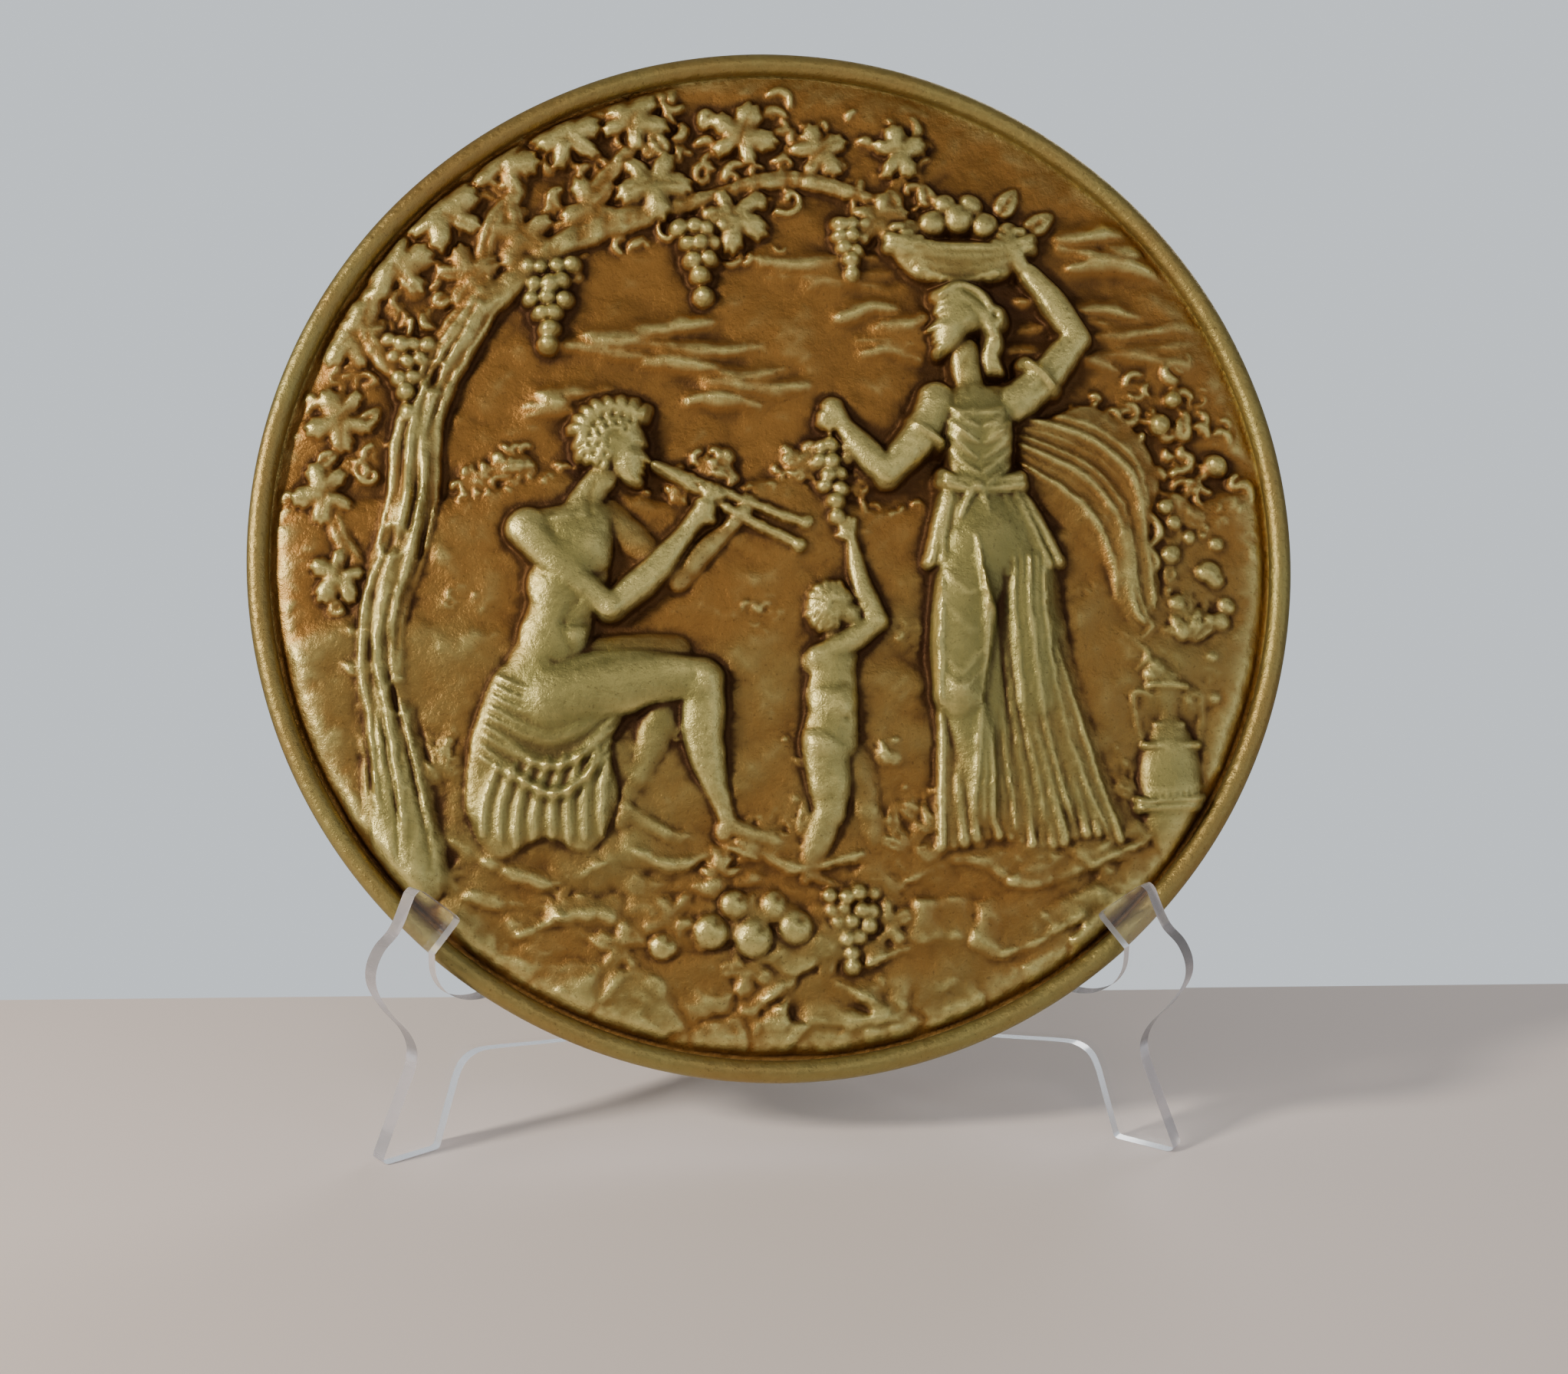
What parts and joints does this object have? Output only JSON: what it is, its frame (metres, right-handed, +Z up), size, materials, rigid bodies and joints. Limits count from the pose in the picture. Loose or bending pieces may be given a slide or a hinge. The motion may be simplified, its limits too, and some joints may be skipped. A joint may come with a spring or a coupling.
{
  "type": "relief plaque",
  "caption": "Round bronze plaque with a figured harvest scene in relief inside a rounded rim, leaning in a clear two-sheet acrylic plate easel.",
  "frame": {"origin": "middle of the base: halfway across the width and halfway between the foremost and hindmost points, on the table", "axes": "+Z up, the carved face looks to -Y and leans back 18 degrees, +X to the viewer's right"},
  "size_m": [0.2998, 0.1066, 0.3043],
  "materials": {
    "bronze": "cast bronze, brown patina in the ground, worn to a satin sheen on the raised figures",
    "acrylic": "clear polished acrylic sheet"
  },
  "bodies": {
    "root": {"relief_plaque": "bronze", "easel_left": "acrylic", "easel_right": "acrylic"}
  },
  "joints": []
}
